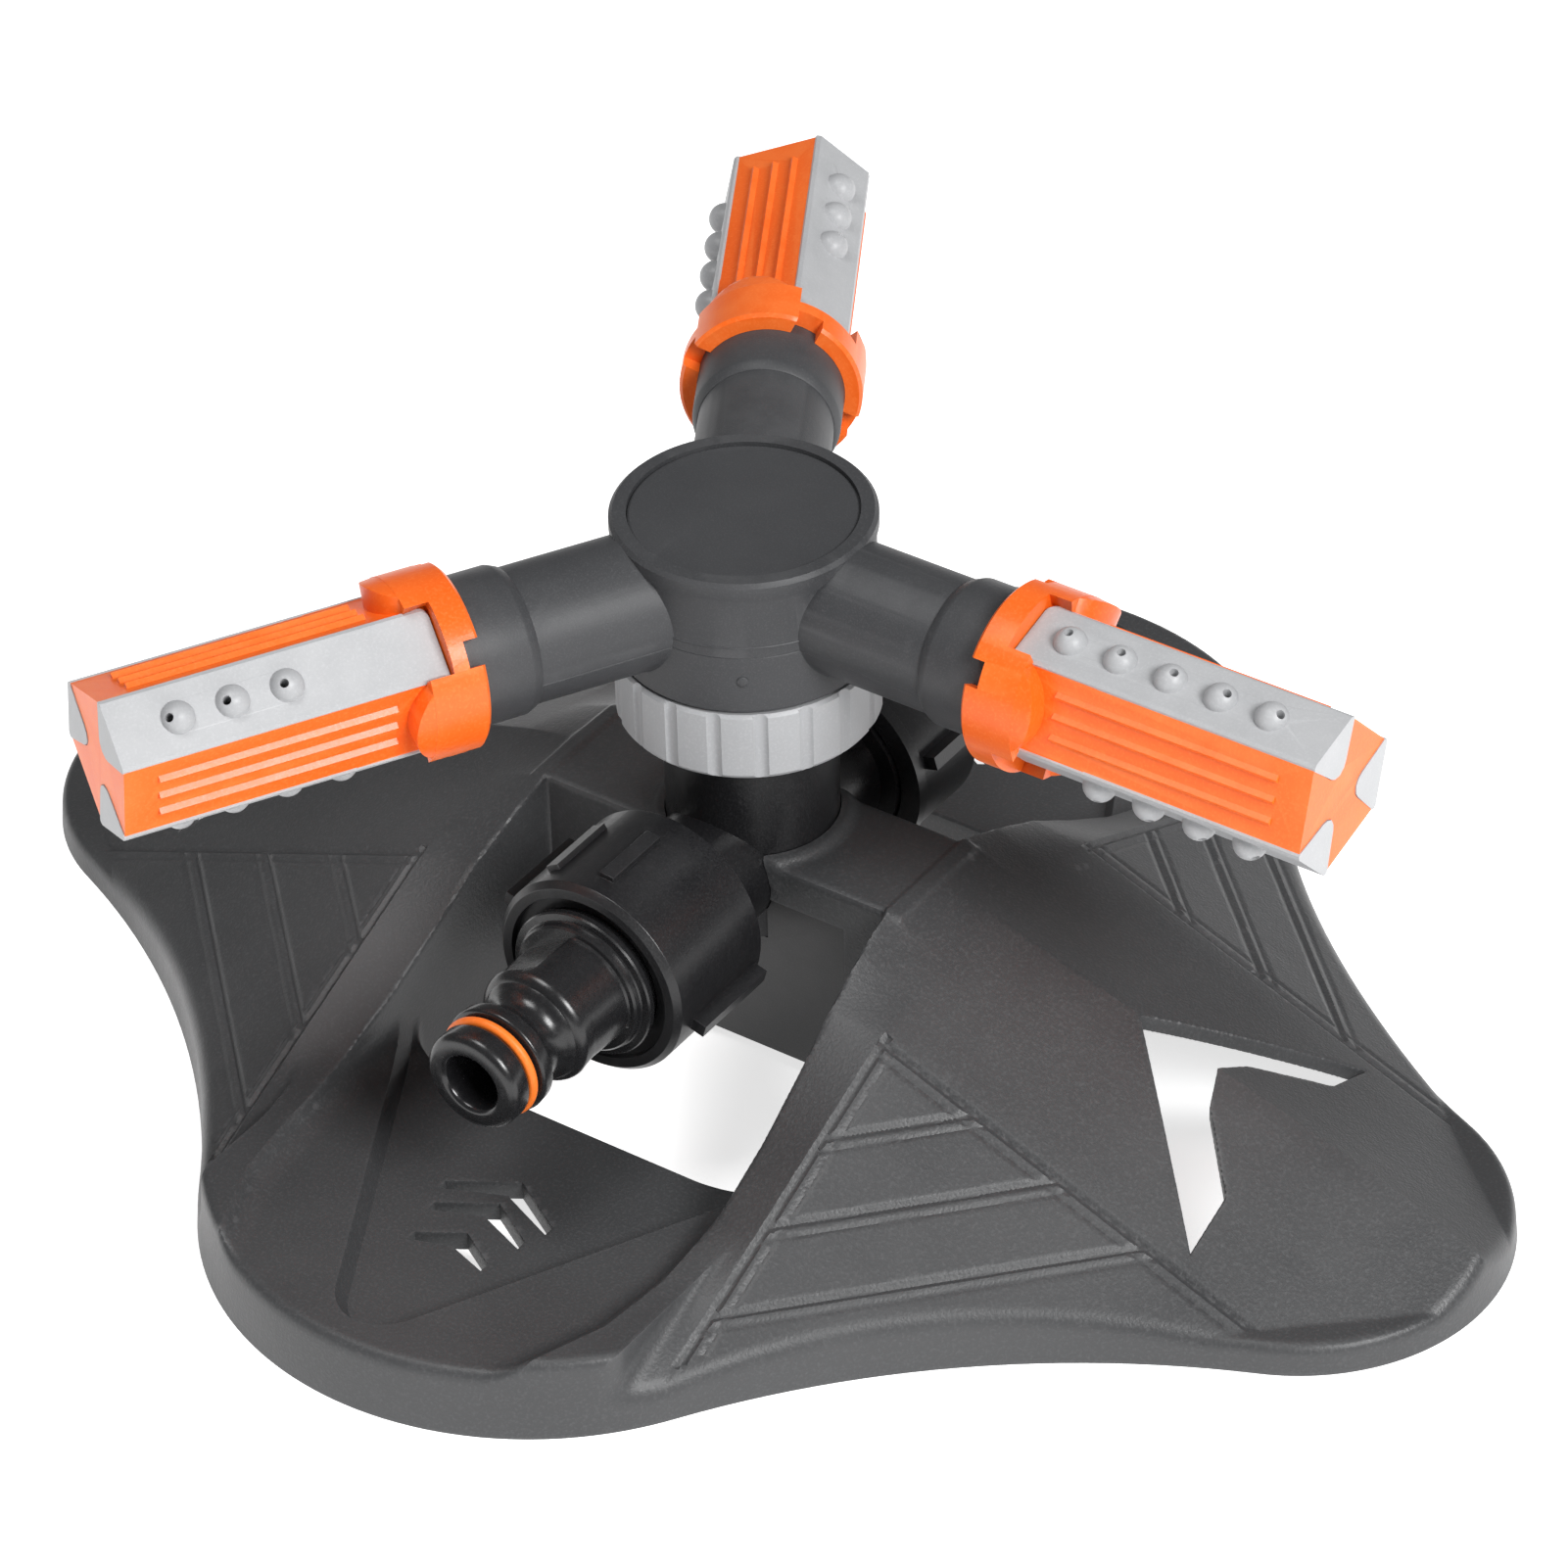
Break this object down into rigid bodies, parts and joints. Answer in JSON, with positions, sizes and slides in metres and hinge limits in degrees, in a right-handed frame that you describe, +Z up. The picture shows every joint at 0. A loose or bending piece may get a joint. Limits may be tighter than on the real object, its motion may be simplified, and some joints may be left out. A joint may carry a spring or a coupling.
{
  "type": "rotary lawn sprinkler",
  "caption": "Rotary garden sprinkler: wide lobed stand, quick-connect hose inlet, spinning hub with arms ending in rotatable multi-nozzle spray heads.",
  "frame": {"origin": "underside centre of the stand, on the rotor axis, resting plane z = 0", "axes": "+Z up along the rotor axis, -Y towards the hose inlet, +X towards a raised lobe"},
  "size_m": [0.2532, 0.212, 0.095],
  "materials": {
    "stand_plastic": "fine grained matte",
    "hub_plastic": "satin",
    "disc_plastic": "satin",
    "ring_plastic": "satin",
    "fitting_plastic": "semi-gloss",
    "nipple_plastic": "gloss",
    "orange_rubber": "satin",
    "black_rubber": "matte",
    "steel": "brushed",
    "white_plastic": "satin",
    "strip_plastic": "satin",
    "head_plastic": "satin",
    "socket_plastic": "satin"
  },
  "bodies": {
    "stand": {"base_shell": "stand_plastic", "tee_body": "fitting_plastic", "tee_clamp": "fitting_plastic", "tee_screws": "steel", "washer_low": "white_plastic", "washer_up": "white_plastic"},
    "rotor": {"hub_lower": "hub_plastic", "hub_upper": "hub_plastic", "hub_disc": "disc_plastic", "lock_ring": "ring_plastic", "hub_bush": "white_plastic", "hub_seal": "black_rubber", "arm_a_socket": "socket_plastic", "arm_b_socket": "socket_plastic", "arm_c_socket": "socket_plastic", "arm_a_o_ring": "black_rubber", "arm_b_o_ring": "black_rubber", "arm_c_o_ring": "black_rubber"},
    "head_a": {"head_a_body": "head_plastic", "head_a_strip_3": "strip_plastic", "head_a_strip_4": "strip_plastic", "head_a_strip_5": "strip_plastic", "head_a_clip": "steel"},
    "head_b": {"head_b_body": "head_plastic", "head_b_strip_3": "strip_plastic", "head_b_strip_4": "strip_plastic", "head_b_strip_5": "strip_plastic", "head_b_clip": "steel"},
    "head_c": {"head_c_body": "head_plastic", "head_c_strip_3": "strip_plastic", "head_c_strip_4": "strip_plastic", "head_c_strip_5": "strip_plastic", "head_c_clip": "steel"},
    "inlet": {"nipple": "nipple_plastic", "nipple_o_ring": "orange_rubber", "hose_washer": "black_rubber", "filter_screen": "steel"},
    "nut": {"inlet_nut": "fitting_plastic"},
    "cap_seal": {"cap_washer": "black_rubber"},
    "cap": {"end_cap": "fitting_plastic"}
  },
  "joints": [
    {"name": "rotor_spin", "type": "hinge", "parent": "stand", "child": "rotor", "pos_m": [0, 0, 0.06], "axis": [0, 0, 1], "continuous": true},
    {"name": "head_a_turn", "type": "hinge", "parent": "rotor", "child": "head_a", "pos_m": [0, 0, 0.0812], "axis": [-0.5, -0.866, 0], "continuous": true},
    {"name": "head_b_turn", "type": "hinge", "parent": "rotor", "child": "head_b", "pos_m": [0, 0, 0.0812], "axis": [1, 0, 0], "continuous": true},
    {"name": "head_c_turn", "type": "hinge", "parent": "rotor", "child": "head_c", "pos_m": [0, 0, 0.0812], "axis": [-0.5, 0.866, 0], "continuous": true},
    {"name": "inlet_slide", "type": "slide", "parent": "stand", "child": "inlet", "axis": [0, -1, 0], "range_m": [0, 0.0127]},
    {"name": "nut_turn", "type": "hinge", "parent": "inlet", "child": "nut", "pos_m": [0, -0.03, 0.0337], "axis": [0, -1, 0], "range_deg": [0, 2519]},
    {"name": "cap_slide", "type": "slide", "parent": "stand", "child": "cap_seal", "axis": [0, 1, 0], "range_m": [0, 0.0127]},
    {"name": "cap_turn", "type": "hinge", "parent": "cap_seal", "child": "cap", "pos_m": [0, 0.03, 0.0337], "axis": [0, 1, 0], "range_deg": [0, 2519]}
  ],
  "couplings": [
    {"joint": "inlet_slide", "follows": "nut_turn", "m_per_rad": 0.00028871},
    {"joint": "cap_slide", "follows": "cap_turn", "m_per_rad": 0.00028871}
  ]
}
